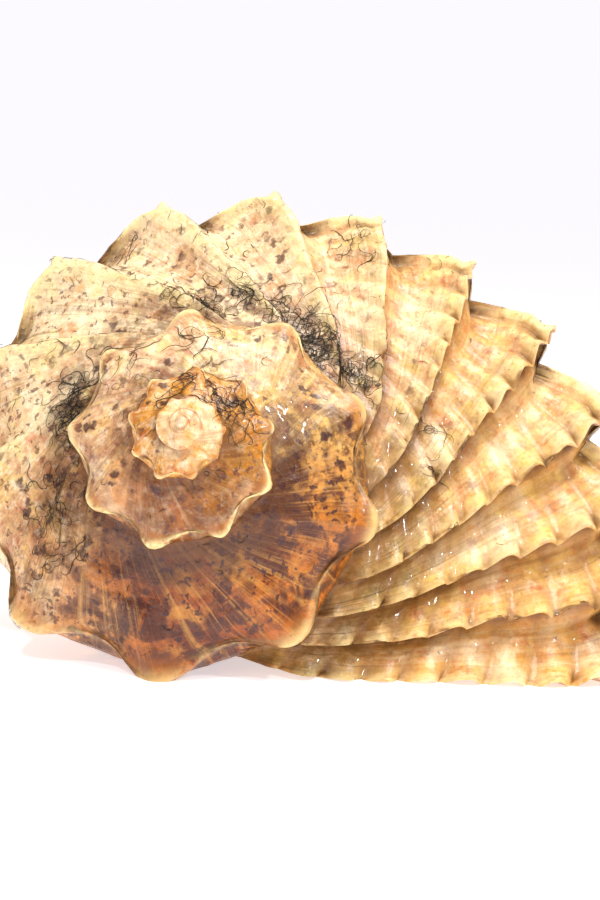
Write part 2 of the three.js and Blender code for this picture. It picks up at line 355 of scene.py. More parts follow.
def whorlRows(lines, curve):
    outward, across = outlineShape(curve)
    angle, wave, edge, under = (lines[:, k, None] for k in range(4))
    radius, height, lead, station = (curve[None, :, k] for k in range(4))
    across = across[None, :]
    fromShoulder = np.hypot(radius - growth["shoulder"][0], height - growth["shoulder"][1])
    reach, tip, fold, gone = keelReach(angle)
    outside = smoothStep(station, *relief["outerFrom"])
    outside = outside * (1 - smoothStep(station, *relief["outerUntil"]))
    amount = smoothStep(angle, *relief["lamellaFrom"])
    ribbed = smoothStep(angle, *relief["ribFrom"])

    # ribs and lamellae, with the cords that cross them
    corded = smoothStep(angle, *relief["cordFrom"]) * outside
    corded = corded * smoothStep(np.abs(across), *relief["cordsPastKeel"])
    sway, swayAcross, swayAlong = relief["cordSway"]
    sway = sway * np.sin(across * swayAcross + angle * swayAlong)
    phase = across / relief["cordSpacing"] + sway
    cord = np.abs(np.sin(np.pi * phase))
    arch = corded * edge * amount
    rise = blend(relief["ribRise"], ribbed) * (1 - amount) + relief["lamellaRise"] * amount
    arched = 1 + relief["archRise"] * arch * (cord - relief["cordLevel"])
    rise = rise * outside * (wave * arched - relief["ribBase"] * ribbed)
    between = relief["cordAtRest"] + wave
    rise = rise + relief["cordHeight"] * corded * (cord - relief["cordLevel"]) * between

    # the keel's rim, the folds that rise to the knobs and the hollow in front of each
    grown = smoothStep(angle, *relief["grownFrom"])
    rim = blend(relief["keelRim"], grown) * bell(across, blend(relief["rimWidth"], grown))
    rise = rise + rim * smoothStep(angle, *relief["rimFrom"])
    onRamp = smoothStep(radius, *relief["foldOnRamp"])
    foldAcross = np.where(across < 0, onRamp, bell(across, relief["foldOnWall"]))
    foldRise = blend(relief["knobFold"], amount) * (fold - relief["foldLevel"])
    rise = rise + foldRise * foldAcross * outside * smoothStep(angle, *relief["foldFrom"])
    spoon = bell(gone - relief["hollowAlong"][0], relief["hollowAlong"][1])
    spoon = spoon * bell(across - relief["hollowAcross"][0], relief["hollowAcross"][1])
    rise = rise - relief["knobHollow"] * spoon * outside * smoothStep(angle, *relief["hollowFrom"])

    fine = unevenness(angle, across, relief["fineWaves"])
    rise = rise + relief["growthLine"] * fine * outside
    broad = unevenness(angle, across, relief["broadWaves"])
    broadFrom = smoothStep(angle, *relief["undulationFrom"])
    rise = rise + relief["undulation"] * broad * outside * broadFrom

    knob = 1 + bell(fromShoulder, growth["keelWidth"]) * (reach - 1)
    swell = (1 - (1 - wave) ** relief["edgeSwell"]) * outside * ribbed
    hold, holdWidth = relief["shoulderHold"]
    sideways = outward[None, :, 0] * (1 - hold * bell(across, holdWidth))
    wide = (radius * knob * (1 + relief["edgeReach"] * swell) + rise * sideways) * flareAt(angle, radius)
    tall = height + rise * outward[None, :, 1]
    teeth = relief["toothAdvance"] * arch * (relief["cordLevel"] - cord)
    points, there = spiralPoints(wide, tall, lead, angle + teeth)

    size = shoulderRadius(there)
    full = np.ones_like(points[..., 0])
    alongMm = shoulderRadius(angle) * 2 * np.pi / math.log(growth["perWhorl"])
    flow = np.stack([alongMm * full, across * size, angle / 360 * full], -1)
    look = np.stack([bell(across, relief["rimBand"]) * full,
                     tip ** 2 * bell(across, relief["tipBand"]) * full,
                     np.maximum(under, 0) * amount * full], -1)
    wear = np.stack([wave * outside * full * (1 - under) * ribbed,
                     corded * (1 - cord) * full, radius * full], -1)
    return points, flow, look, wear, there / 360


def chamberRows(angles, curve):
    _, across = outlineShape(curve)
    radius, height, lead, _ = (curve[None, :, k] for k in range(4))
    angle = angles[:, None]
    points, there = spiralPoints(radius * flareAt(angle, radius), height, lead, angle)
    size = shoulderRadius(there)
    alongMm = size * 2 * np.pi / math.log(growth["perWhorl"])
    flow = np.stack([alongMm, across[None, :] * size, there / 360], -1)
    nothing = np.zeros_like(points)
    return points, flow, nothing, nothing, there / 360


def newObject(name, points, faces, attributes, material):
    mesh = bpy.data.meshes.new(name)
    mesh.from_pydata(points, [], faces)
    for title, values in attributes.items():
        kind = "FLOAT" if values.ndim == 1 else "FLOAT_VECTOR"
        field = "value" if values.ndim == 1 else "vector"
        layer = mesh.attributes.new(title, kind, "POINT")
        layer.data.foreach_set(field, values.astype(np.float32).ravel())
    mesh.materials.append(material)
    made = bpy.data.objects.new(name, mesh)
    bpy.context.scene.collection.objects.link(made)
    return made


# A closed tube through rows of points, with a fan over each end
def tubeObject(name, rows, material):
    points, flow, look, wear, polar = rows
    lineCount, columns = points.shape[:2]
    corners = np.arange(lineCount * columns).reshape(lineCount, columns)
    beside = np.roll(corners, -1, 1)
    quads = np.stack([corners[:-1], corners[1:], beside[1:], beside[:-1]], -1).reshape(-1, 4)
    first = lineCount * columns
    startFan = np.stack([corners[0], beside[0], np.full(columns, first)], -1)
    endFan = np.stack([beside[-1], corners[-1], np.full(columns, first + 1)], -1)
    faces = quads.tolist() + startFan.tolist() + endFan.tolist()

    def withEnds(values):
        flat = values.reshape(-1, values.shape[-1])
        return np.concatenate([flat, values[0].mean(0)[None], values[-1].mean(0)[None]])

    placed = withEnds(points) @ growthToRest[:3, :3].T + growthToRest[:3, 3]
    made = newObject(name, placed, faces, {
        "flow": withEnds(flow), "look": withEnds(look), "wear": withEnds(wear),
        "polar": withEnds(polar[..., None])[:, 0], "known": np.ones(len(placed)),
    }, material)
    made.data.polygons.foreach_set("use_smooth", [True] * len(made.data.polygons))
    return made


outerLime = bpy.data.materials.new("growthLinedLime")
innerGlaze = bpy.data.materials.new("porcelainGlaze")


def whorlTubes():
    lines = growthLines()
    tubes = []
    first = 0
    while first + 1 < len(lines):
        last = first + 1
        while last + 1 < len(lines) and lines[last + 1, 0] - lines[first, 0] < fineness["tubeLength"]:
            last += 1
        coarser = next((times for until, times in fineness["coarserOutline"]
                        if lines[last, 0] < until), 1)
        rows = whorlRows(lines[first:last + 1], smoothOutline(outline, coarser))
        tubes.append(tubeObject("whorlTube", rows, outerLime))
        if last + 1 == len(lines):
            break
        first = last - 1        # the next tube starts inside this one, so that they join
    return tubes


# The living chamber, in degrees: how far in it goes, and how far past the lip it cuts
chamber = {"depth": 330, "pastLip": 14, "tubes": 3, "linesEach": 31}


def chamberTubes():
    tubes = []
    start, end = growth["lipAngle"] - chamber["depth"], growth["lipAngle"] + chamber["pastLip"]
    ends = np.linspace(start, end, chamber["tubes"] + 1)
    for low, high in zip(ends[:-1], ends[1:]):
        angles = np.linspace(low, high, chamber["linesEach"])
        rows = chamberRows(angles, smoothOutline(chamberOutline))
        tubes.append(tubeObject("chamberTube", rows, innerGlaze))
    return tubes


# Rings round the axis, in mm, turned the same way as the whorls
def turnedRows(reaches, heights, sides):
    turn = np.linspace(0, 2 * np.pi, sides, endpoint=False)
    return np.stack([np.outer(reaches, np.cos(turn)), np.outer(reaches, -np.sin(turn)),
                     np.outer(heights, np.ones(sides))], -1)


# The pillar the whorls turn round is a cone. Its colour is that of the growth at its turns.
pillar = {"depths": (0.4, 8, 16, 24, 32, 42.0), "widening": 0.18, "sides": 48, "turns": 3}


def pillarObject():
    depths = np.array(pillar["depths"])
    rows = turnedRows(depths * pillar["widening"], -depths, pillar["sides"])
    nothing = rows * 0
    flow = np.stack([rows[..., 0], -rows[..., 2], nothing[..., 0] + pillar["turns"]], -1)
    return tubeObject("pillar", (rows, flow, nothing, nothing, nothing[..., 0]), outerLime)


# The first turn is too small to coil, so a dome closes the tip. Its gap is radians off the axis, and
# along is where its patterns start in mm.
dome = {
    "radius": 0.56, "depth": 0.42, "gap": 0.08, "sides": 40, "rings": 18, "along": 6, "turns": -1,
}


def domeObject():
    tilt = np.linspace(dome["gap"], np.pi - dome["gap"], dome["rings"])
    heights = dome["radius"] * np.cos(tilt) - dome["depth"]
    rows = turnedRows(dome["radius"] * np.sin(tilt), heights, dome["sides"])
    nothing = rows * 0
    turns = nothing[..., 0] + dome["turns"]
    flow = np.stack([rows[..., 0] + dome["along"], rows[..., 1], turns], -1)
    return tubeObject("dome", (rows, flow, nothing, nothing, turns), outerLime)


# A block below the floor, which cuts the flats that the shell rests on
def floorObject():
    size = 0.3
    corners = [(x * size, y * size, z * size - size)
               for x in (-1, 1) for y in (-1, 1) for z in (0, 1)]
    faces = [(0, 1, 3, 2), (4, 6, 7, 5), (0, 4, 5, 1), (2, 3, 7, 6), (0, 2, 6, 4), (1, 5, 7, 3)]
    return newObject("floorCut", corners, faces, {"known": np.zeros(8)}, outerLime)


def combine(target, others, operation):
    for other in others:
        change = target.modifiers.new(operation, "BOOLEAN")
        change.operation = operation
        change.solver = "MANIFOLD"
        change.object = other
    seen = target.evaluated_get(bpy.context.evaluated_depsgraph_get())
    mesh = bpy.data.meshes.new_from_object(seen)
    target.modifiers.clear()
    target.data = mesh
    for other in others:
        bpy.data.objects.remove(other)
    return target


# One row of values for each item
def readAll(items, field, width=1, kind=np.float32):
    values = np.zeros(len(items) * width, kind)
    items.foreach_get(field, values)
    return values.reshape(-1, width) if width > 1 else values


# A join leaves new vertices without values: they take the mean of their neighbours
def fillUnknown(mesh):
    count = len(mesh.vertices)
    known = readAll(mesh.attributes["known"].data, "value") > 0.99
    edges = readAll(mesh.edges, "vertices", 2, np.int32)
    edges = np.concatenate([edges, edges[:, ::-1]])
    layers = {name: readAll(mesh.attributes[name].data, "vector", 3)
              for name in ("flow", "look", "wear")}
    rounds = 6
    for _ in range(rounds):
        use = edges[~known[edges[:, 0]] & known[edges[:, 1]]]
        if not len(use):
            break
        weight = np.bincount(use[:, 0], minlength=count)
        got = weight > 0
        for name, values in layers.items():
            for k in range(3):
                total = np.bincount(use[:, 0], values[use[:, 1], k], count)
                values[got, k] = total[got] / weight[got]
        known = known | got
    for name, values in layers.items():
        mesh.attributes[name].data.foreach_set("vector", values.ravel())
    mesh.attributes.remove(mesh.attributes["known"])


# True for the vertices of the outer lime, which is the first material
def outerVertices(mesh):
    materials = readAll(mesh.polygons, "material_index", kind=np.int32)
    sizes = readAll(mesh.polygons, "loop_total", kind=np.int32)
    corners = readAll(mesh.loops, "vertex_index", kind=np.int32)
    outside = np.zeros(len(mesh.vertices), bool)
    outside[corners[np.repeat(materials == 0, sizes)]] = True
    return outside


# Dents and swellings: mm from one to the next, and their depth in mm
seaWear = {"sizes": (0.8, 1.7, 3.4, 7.0), "depths": (0.05, 0.11, 0.2, 0.3), "clearOfFloor": 0.6}


def roughen(mesh):
    places, normals = (readAll(mesh.vertices, field, 3) for field in ("co", "normal"))
    outside = outerVertices(mesh) & (places[:, 2] > seaWear["clearOfFloor"] * mm)
    push = np.zeros(len(places))
    for index in np.flatnonzero(outside):
        place = Vector(places[index]) / mm
        push[index] = sum(solidNoise.noise(place / size) * depth
                          for size, depth in zip(seaWear["sizes"], seaWear["depths"]))
    moved = places + normals * push[:, None] * mm
    mesh.vertices.foreach_set("co", moved.astype(np.float32).ravel())
    mesh.update()


def buildShell():
    tubes = whorlTubes()
    shell = combine(tubes[0], tubes[1:] + [pillarObject(), domeObject()], "UNION")
    shell = combine(shell, chamberTubes() + [floorObject()], "DIFFERENCE")
    shell.name = "conchShell"
    shell.data.name = "conchShell"
    fillUnknown(shell.data)
    roughen(shell.data)
    shell.data.set_sharp_from_angle(angle=math.radians(growth["sharpFrom"]))
    return shell


shell = buildShell()
shell.data.calc_loop_triangles()
print("shell grown:", len(shell.data.loop_triangles), "triangles")

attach(shell, "root")
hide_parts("shell")

# How hemmed in each vertex is, from 0 in the open to 1 deep in a seam: a fan of rays looks round,
# from a little clear of the surface to the reach, both in mm. The lime's colour darkens with it, as
# painted shade and partly silt.
crevice = {"rays": 14, "fanDepth": 0.85, "reach": 5.0, "clear": 0.12}


def addCavity(piece):
    mesh = piece.data
    tree = BVHTree.FromPolygons([v.co for v in mesh.vertices], [p.vertices for p in mesh.polygons])
    step = math.pi * (3 - math.sqrt(5))
    fan = []
    for i in range(crevice["rays"]):
        up = 1 - (i + 0.5) / crevice["rays"] * crevice["fanDepth"]
        side = math.sqrt(1 - up * up)
        fan.append(Vector((side * math.cos(i * step), side * math.sin(i * step), up)))
    reach = crevice["reach"] * mm
    cavity = np.zeros(len(mesh.vertices), np.float32)
    for vertex in mesh.vertices:
        turn = vertex.normal.to_track_quat("Z", "Y")
        start = vertex.co + vertex.normal * crevice["clear"] * mm
        blocked = 0
        for ray in fan:
            distance = tree.ray_cast(start, turn @ ray, reach)[3]
            if distance is not None:
                blocked += 1 - distance / reach
        cavity[vertex.index] = blocked / crevice["rays"]
    layer = mesh.attributes.new("cavity", "FLOAT", "POINT")
    layer.data.foreach_set("value", cavity)
    return tree


shellTree = addCavity(shell)
print("crevices measured")

driedAlgae = bpy.data.materials.new("driedAlgae")

# Dried algae threads, thickest where one whorl meets the next. A clump is a spiral angle, a share
# of the shoulder radius, its spread in mm and how many threads it has.
algae = {
    "clumps": [
        (1040, 0.50, 2.6, 90), (1052, 0.49, 2.4, 80), (1030, 0.53, 3.0, 50), (1062, 0.50, 2.0, 30),
        (930, 0.50, 1.8, 60), (918, 0.50, 1.6, 30), (942, 0.52, 1.6, 25),
        (888, 0.62, 3.2, 40), (876, 0.68, 3.4, 18), (902, 0.56, 2.0, 14),
        (1004, 0.52, 2.2, 45), (1014, 0.56, 3.0, 45), (990, 0.62, 3.0, 20),
        (340, 0.60, 1.3, 24), (322, 0.56, 1.0, 14), (356, 0.62, 1.2, 12),
        (280, 0.62, 1.4, 16), (640, 0.70, 3.0, 16), (600, 0.72, 3.0, 12),
        (1076, 0.62, 2.4, 14), (1090, 0.60, 2.4, 10), (975, 0.9, 2.6, 18), (1030, 0.85, 3.0, 14),
    ],
    "gathered": 0.6,            # of a clump's spread
    "steps": (6, 22),
    "radiusMm": (0.03, 0.07),
    "grimeReach": 0.7,          # of a clump's spread
    "fullGrime": 70,            # threads
    "scattered": 420,
    "scatteredSteps": (3, 11),
    "scatteredRadiusMm": (0.03, 0.06),
    "scatteredFrom": (150, 1112),
    "scatteredUpToMm": 6,       # past the shoulder, down the wall
    "whorlShare": 0.5,          # above 0, big whorls catch more of the scattered threads
    "crowded": (860, 1060),     # scattered threads lie closer here
    "crowding": 2.5,
    "stepMm": 0.3,
    "curl": (0.35, 0.25),       # at the start, and what each step adds
    "curlKept": 0.8,
    "liftMm": (0.02, 0.22),
    "loopMm": 0.5,
    "looping": 0.4,             # the share of threads that stand up in a loop
    "thinning": 0.7,
    "clearOfFloorMm": 0.6,
    "sides": 4,
    "seed": 11,
}


def threadPath(chance, start, normal, steps):
    heading = normal.orthogonal().normalized()
    heading.rotate(Matrix.Rotation(chance.uniform(0, 2 * math.pi), 3, normal))
    curl = chance.normal(0, algae["curl"][0])
    spot, up = start, normal
    path = []
    lift = chance.uniform(*algae["liftMm"]) * mm
    rise = chance.uniform(0, algae["loopMm"]) * mm * (chance.random() < algae["looping"])
    for i in range(steps):
        curl = curl * algae["curlKept"] + chance.normal(0, algae["curl"][1])
        heading.rotate(Matrix.Rotation(curl, 3, up))
        heading = (heading - up * heading.dot(up)).normalized()
        guess = spot + heading * algae["stepMm"] * mm
        found, face, _, _ = shellTree.find_nearest(guess)
        if found is None or found.z < algae["clearOfFloorMm"] * mm:
            break
        spot, up = found, face
        path.append(spot + up * (lift + rise * math.sin(math.pi * i / steps)))
    return path


def addTube(points, faces, path, radius, sides):
    first = len(points)
    for i, spot in enumerate(path):
        ahead = (path[min(i + 1, len(path) - 1)] - path[max(i - 1, 0)]).normalized()
        side = ahead.orthogonal().normalized()
        other = ahead.cross(side)
        thin = radius * (1 - algae["thinning"] * abs(2 * i / (len(path) - 1) - 1) ** 3)
        for k in range(sides):
            turn = 2 * math.pi * k / sides
            points.append(spot + (side * math.cos(turn) + other * math.sin(turn)) * thin)
    for i in range(len(path) - 1):
        for k in range(sides):
            a, b = first + i * sides + k, first + i * sides + (k + 1) % sides
            faces.append((a, b, b + sides, a + sides))
    faces.append(tuple(range(first + sides - 1, first - 1, -1)))
    faces.append(tuple(range(len(points) - sides, len(points))))


def growAlgae():
    chance = np.random.default_rng(algae["seed"])
    mesh = shell.data
    flow, wear = (readAll(mesh.attributes[name].data, "vector", 3) for name in ("flow", "wear"))
    angle = readAll(mesh.attributes["polar"].data, "value") * 360
    share = wear[:, 2]
    outside = outerVertices(mesh)
    onRamp = (flow[:, 1] < 0) & outside
    points, faces = [], []

    def addThread(spot, normal, steps, radius):
        path = threadPath(chance, spot, normal, steps)
        if len(path) > 2:
            addTube(points, faces, path, radius * mm, algae["sides"])

    places = readAll(mesh.vertices, "co", 3)
    grime = np.zeros(len(places), np.float32)
    for middle, across, spread, count in algae["clumps"]:
        # 8 degrees off counts as much as 0.05 of a radius, and 99 rules a vertex out
        off = np.abs(angle - middle) / 8 + np.abs(share - across) / 0.05 + ~onRamp * 99
        centre = mesh.vertices[int(np.argmin(off))].co
        away = np.linalg.norm(places - np.array(centre), axis=1) / (spread * mm)
        amount = min(1, count / algae["fullGrime"])
        grime = np.maximum(grime, bell(away, algae["grimeReach"]) * amount)
        for _ in range(count):
            guess = centre + Vector(chance.normal(0, spread * algae["gathered"], 3)) * mm
            spot, normal, _, _ = shellTree.find_nearest(guess)
            radius = chance.uniform(*algae["radiusMm"])
            addThread(spot, normal, int(chance.integers(*algae["steps"])), radius)

    low, high = algae["scatteredFrom"]
    near = flow[:, 1] < algae["scatteredUpToMm"]
    bare = np.flatnonzero(outside & (angle > low) & (angle < high) & near)
    low, high = algae["crowded"]
    inCrowd = (angle[bare] > low) & (angle[bare] < high)
    weight = shoulderRadius(angle[bare]) ** algae["whorlShare"] * (1 + algae["crowding"] * inCrowd)
    for index in chance.choice(bare, algae["scattered"], p=weight / weight.sum()):
        vertex = mesh.vertices[int(index)]
        addThread(vertex.co.copy(), vertex.normal.copy(),
                  int(chance.integers(*algae["scatteredSteps"])),
                  chance.uniform(*algae["scatteredRadiusMm"]))
    mesh.attributes.new("grime", "FLOAT", "POINT").data.foreach_set("value", grime)
    return newObject("algaeThreads", points, faces, {}, driedAlgae)


threads = growAlgae()
threads.data.polygons.foreach_set("use_smooth", [True] * len(threads.data.polygons))
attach(threads, "root")
print("algae threads grown:", len(threads.data.polygons), "faces")


# A hex colour as the linear values that the shaders work in
def linear(text):
    parts = [int(text[i:i + 2], 16) / 255 for i in (1, 3, 5)]
    return (*(c / 12.92 if c <= 0.04045 else ((c + 0.055) / 1.055) ** 2.4 for c in parts), 1.0)


def addNode(tree, kind, settings=None, inputs=None, stops=None):
    made = tree.nodes.new("ShaderNode" + kind)
    for name, value in (settings or {}).items():
        setattr(made, name, value)
    for socket, value in (inputs or {}).items():
        if isinstance(value, bpy.types.NodeSocket):
            tree.links.new(value, made.inputs[socket])
        else:
            made.inputs[socket].default_value = value
    if stops:
        ramp = made.color_ramp.elements
        while len(ramp) < len(stops):
            ramp.new(0.5)
        for element, (place, colour) in zip(ramp, stops):
            element.position = place
            element.color = linear(colour)
    return made


def freshTree(material):
    material.use_nodes = True
    material.node_tree.nodes.clear()
    return material.node_tree


# Outer lime: calcite laid down line by line at the lip, stained by what the animal ate, then
# scrubbed by sand. To the eye that is streaks along the growth lines, soft dark flecks, pale worn
# edges and a wet-looking skin. Its colour also carries painted shade in the seams, crevices and
# cord furrows and under the lamella edges.
outerLook = {
    "wholeGrowth": 3.2,         # turns of the spiral, from the tip to just past the lip
    # the ground colour and the zones go by growth, from 0 at the tip to 1 past the lip
    "ground": [(0.0, "#dc943a"), (0.28, "#cc8830"), (0.35, "#a46d22"), (0.43, "#844604"),
               (0.48, "#c8986a"), (0.55, "#dcb48c"), (0.60, "#dfae70"), (0.635, "#cea25c"),
               (0.675, "#a9661e"), (0.705, "#a85c1c"), (0.728, "#7c340c"), (0.75, "#aa642a"),
               (0.78, "#d6a06a"), (0.815, "#e6c090"), (0.856, "#f0d0a6"), (0.88, "#ecceaa"),
               (0.94, "#e2b070"), (0.965, "#e8b86c"), (1.0, "#d0841e")],
    "unevenFront": 0.16,        # turns by which the ground's front wanders
    "zones": {
        "darkPart": [(0.60, "#000000"), (0.655, "#ffffff"), (0.755, "#ffffff"), (0.80, "#000000")],
        "paleParts": [(0.22, "#ffffff"), (0.36, "#909090"), (0.46, "#909090"), (0.52, "#ffffff"),
                      (0.60, "#ffffff"), (0.655, "#303030"), (0.755, "#303030"), (0.80, "#ffffff")],
        "wornRims": [(0.60, "#ffffff"), (0.655, "#909090"), (0.755, "#909090"), (0.80, "#ffffff")],
        "coiled": [(0.04, "#202020"), (0.15, "#ffffff")],
        "lastPart": [(0.89, "#000000"), (0.945, "#ffffff")],
        "earlierPart": [(0.89, "#ffffff"), (0.98, "#707070")],
        "spire": [(0.76, "#ffffff"), (0.82, "#303030")],
    },
    # a pattern can lie in the solid, along growth lines or along the spiral
    "stretches": {
        "growthLines": (1.0, 0.035, 0.0),
        "spiral": (0.083, 1.0, 0.0),
    },
    # patterns: what they lie on, mm from one patch to the next, detail, roughness, distortion
    "patterns": {
        "mottle": ("solid", 3.0, 6.0, 0.68, 0.4),
        "speckle": ("solid", 1.1, 5.0, 0.7, 0.3),
        "cloud": ("solid", 7.0, 4.0, 0.6, 0.0),
        "blush": ("solid", 9.4, 3.0, 0.55, 0.0),
        "bruise": ("solid", 5.0, 5.0, 0.62, 0.6),
        "swarm": ("solid", 11.0, 2.0, 0.5, 0.0),
        "chalk": ("solid", 1.25, 3.0, 0.55, 0.0),
        "patch": ("solid", 1.7, 4.0, 0.6, 0.0),
        "grit": ("solid", 0.62, 4.0, 0.6, 0.0),
        "wetness": ("solid", 4.0, 3.0, 0.55, 0.0),
        "line": ("growthLines", 1.6, 4.0, 0.65, 0.0),
        "hairline": ("growthLines", 0.45, 3.0, 0.6, 0.0),
        "band": ("spiral", 2.4, 4.0, 0.62, 0.3),
        "thread": ("spiral", 0.9, 3.0, 0.6, 0.0),
    },
    "spots": {"fleck": 2.5, "speck": 1.3, "pit": 0.9},      # mm apart
    "spotWarp": 2.2,            # mm by which their outlines wander
    "spotWander": {"Scale": 1.1, "Detail": 3.0},
    # masks: what each reads, and the values where it is none and full
    "masks": {
        "paleMottle": ("mottle", 0.48, 0.62), "brownMottle": ("mottle", 0.50, 0.36),
        "brownSpeckle": ("speckle", 0.50, 0.38), "paleSpeckle": ("speckle", 0.52, 0.64),
        "paleCloud": ("cloud", 0.48, 0.62), "tanCloud": ("cloud", 0.47, 0.34),
        "blushPatch": ("blush", 0.52, 0.66), "bruisePatch": ("bruise", 0.46, 0.56),
        "paleBand": ("band", 0.53, 0.68), "darkBand": ("band", 0.48, 0.35),
        "darkLine": ("line", 0.52, 0.66), "paleLine": ("line", 0.47, 0.34),
        "darkHair": ("hairline", 0.54, 0.66), "paleHair": ("hairline", 0.46, 0.34),
        "nearSeam": ("share", 0.68, 0.50), "seamPatch": ("patch", 0.36, 0.56),
        "fleckShape": ("fleck", 0.36, 0.18), "fleckSwarm": ("swarm", 0.40, 0.56),
        "speckShape": ("speck", 0.35, 0.20), "speckSwarm": ("swarm", 0.62, 0.42),
        "pitShape": ("pit", 0.20, 0.10), "pitSwarm": ("patch", 0.52, 0.60),
        "tipHalo": ("tip", 0.06, 0.45), "tipEnd": ("tip", 0.35, 0.8), "chalky": ("chalk", 0.25, 0.60),
        "wornEdge": ("swell", 0.45, 0.95), "hollow": ("swell", 0.35, 0.0),
        "shaded": ("cavity", 0.06, 0.30), "creviceShadeAndSilt": ("cavity", 0.20, 0.46),
        "wetPatch": ("wetness", 0.42, 0.62),
    },
    # stains, and painted shade, in the order they came: colour, strength, how it blends, and the masks
    # and zones where it shows
    "stainsAndShade": [
        ("#ffe9b0", 0.45, "OVERLAY", "paleMottle"),
        ("#6e3c1c", 0.50, "OVERLAY", "brownMottle"),
        ("#f3e0b8", 0.60, "MIX", "paleCloud", "paleParts"),
        ("#ab6f36", 0.50, "MIX", "tanCloud", "paleParts"),
        ("#b07c50", 0.25, "MIX", "blushPatch", "paleParts"),
        ("#d09038", 0.50, "MIX", "paleCloud", "darkPart"),
        ("#c07a26", 0.45, "MIX", "paleBand", "darkPart"),
        ("#451a14", 0.85, "MIX", "bruisePatch", "darkPart"),
        ("#2e0e08", 0.45, "MIX", "darkBand", "darkPart"),
        ("#cf9340", 0.50, "MIX", "paleLine", "darkPart"),
        ("#c98a3c", 0.40, "MIX", "paleHair", "darkPart"),
        # painted shadow: darker just outside each suture in the dark zone, where the older whorl's keel
        # overhangs
        ("#2e120a", 0.60, "MIX", "nearSeam", "darkPart"),
        ("#f3d08c", 0.25, "MIX", "paleBand", "paleParts"),
        ("#5c3416", 0.34, "MIX", "darkLine"),
        ("#f7e2b0", 0.38, "MIX", "paleLine", "paleParts"),
        ("#5a3820", 0.30, "MIX", "darkHair"),
        ("#f4dca6", 0.24, "MIX", "paleHair", "paleParts"),
        ("#a87c54", 0.30, "MULTIPLY", "brownSpeckle"),
        ("#fff4d4", 0.40, "MIX", "paleSpeckle", "paleParts", "earlierPart"),
        # partly painted shade, partly dirt: darker along the sutures, in patches
        ("#5e3416", 0.62, "MIX", "nearSeam", "seamPatch", "coiled"),
        ("#a08a4c", 0.35, "MIX", "nearSeam", "lastPart"),
        ("#4c3c1c", 0.60, "MIX", "darkHair", "nearSeam", "lastPart"),
        ("#5b3230", 0.72, "MIX", "speckShape", "speckSwarm", "coiled", "earlierPart"),
        ("#43221f", 0.85, "MIX", "fleckShape", "fleckSwarm", "coiled", "earlierPart"),
        ("#27100e", 0.55, "MIX", "speckShape", "darkPart"),
        ("#b0621e", 0.45, "MIX", "tipHalo", "spire"),
        # painted shade: darker tan in the hollow at the foot of each lamella, under the edge of the one
        # before
        ("#cc9038", 0.45, "MIX", "hollow", "lastPart"),
        ("#f5df9c", 0.92, "MIX", "rim", "chalky", "wornRims", "coiled"),
        ("#e6bf78", 0.80, "MIX", "rim", "tipEnd", "darkPart"),
        ("#f2dc9c", 0.55, "MIX", "wornEdge", "chalky"),
        # painted shade: darker under each lamella's edge
        ("#c08038", 0.70, "MIX", "underEdge"),
        ("#3a302b", 0.70, "MIX", "pitShape", "pitSwarm"),
        # painted shade: darker in the furrows between the spiral cords
        ("#bb8240", 0.50, "MIX", "furrow"),
        # painted shade, partly silt: darker where the surface is hemmed in, most deep in the seams
        ("#7c4a1c", 0.60, "MIX", "shaded", "coiled"),
        ("#38281a", 0.70, "MIX", "creviceShadeAndSilt", "seamPatch", "coiled"),
        ("#4a3820", 0.50, "MIX", "grime", "seamPatch"),
    ],
    # bumps: pattern, strength, depth in mm
    "bumps": [("line", 0.40, 0.35), ("hairline", 0.30, 0.12), ("thread", 0.35, 0.35),
              ("speckle", 0.35, 0.28), ("grit", 0.35, 0.30)],
    "roughness": (0.18, 0.42),
    "skin": {
        "IOR": 1.5, "Specular IOR Level": 0.3, "Subsurface Weight": 0.12,
        "Subsurface Radius": (1.0, 0.5, 0.22), "Subsurface Scale": 0.0012,
        "Coat Weight": 0.15, "Coat Roughness": 0.06,
    },
}


